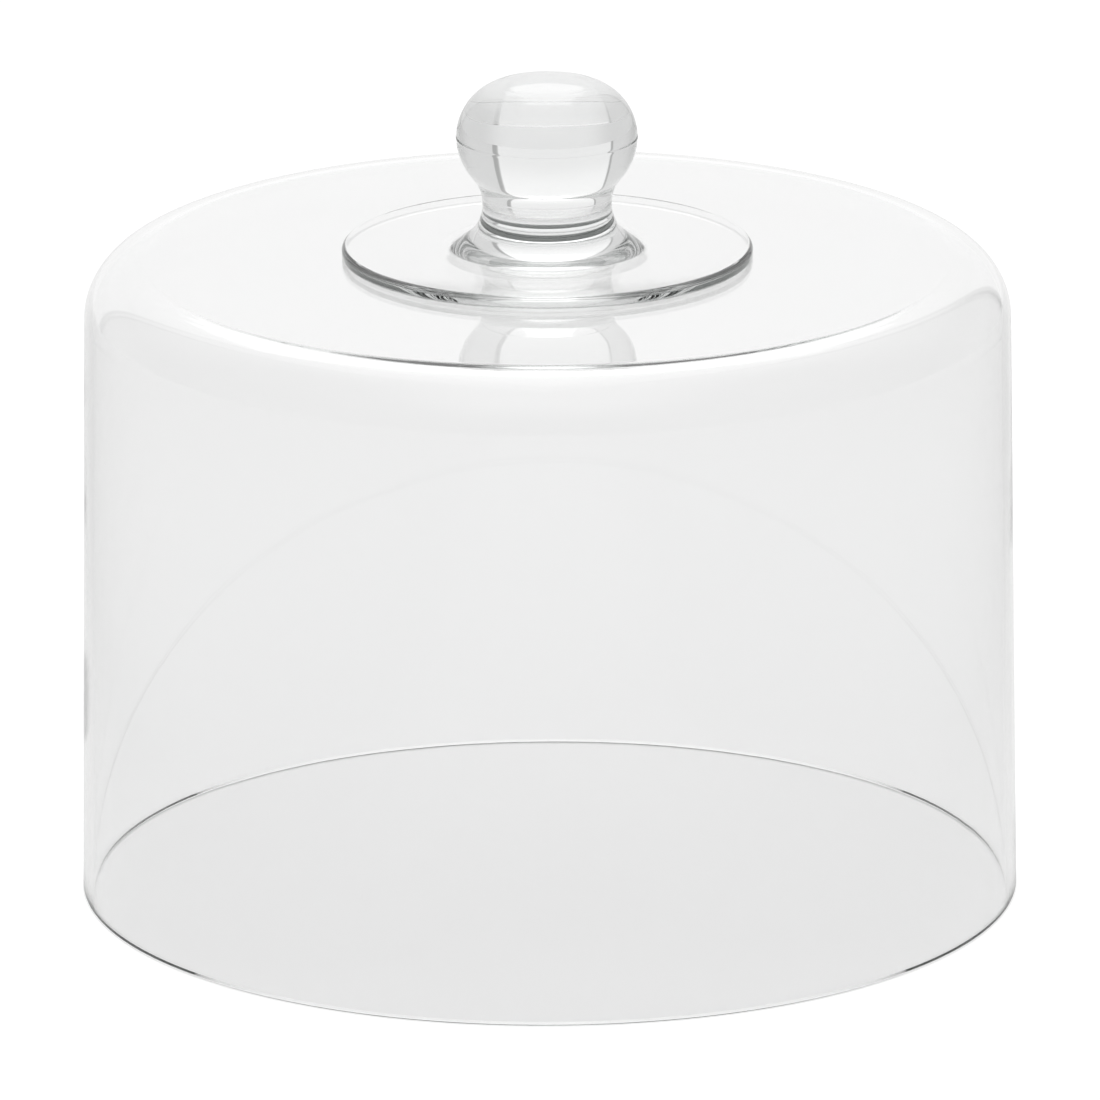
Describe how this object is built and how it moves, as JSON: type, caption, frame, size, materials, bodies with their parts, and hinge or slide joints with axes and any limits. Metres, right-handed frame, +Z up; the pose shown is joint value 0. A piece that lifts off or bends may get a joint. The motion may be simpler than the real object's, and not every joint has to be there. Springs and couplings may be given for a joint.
{
  "type": "food cloche",
  "caption": "Clear glass cloche: a tall straight-sided bell with a flat top, rounded shoulder and a ball knob on a thin disc foot, lifted off a cake or cheese board.",
  "frame": {"origin": "middle of the circle that the rim stands on", "axes": "+Z up along the bell's axis, through the knob"},
  "size_m": [0.285, 0.2848, 0.2528],
  "materials": {
    "bell_glass": "polished clear glass, ground and bevelled rim",
    "clear_bond": "clear cured adhesive",
    "knob_glass": "polished clear glass with a faint mould line"
  },
  "bodies": {
    "root": {"bell": "bell_glass", "bond_film": "clear_bond", "knob": "knob_glass"}
  },
  "joints": []
}
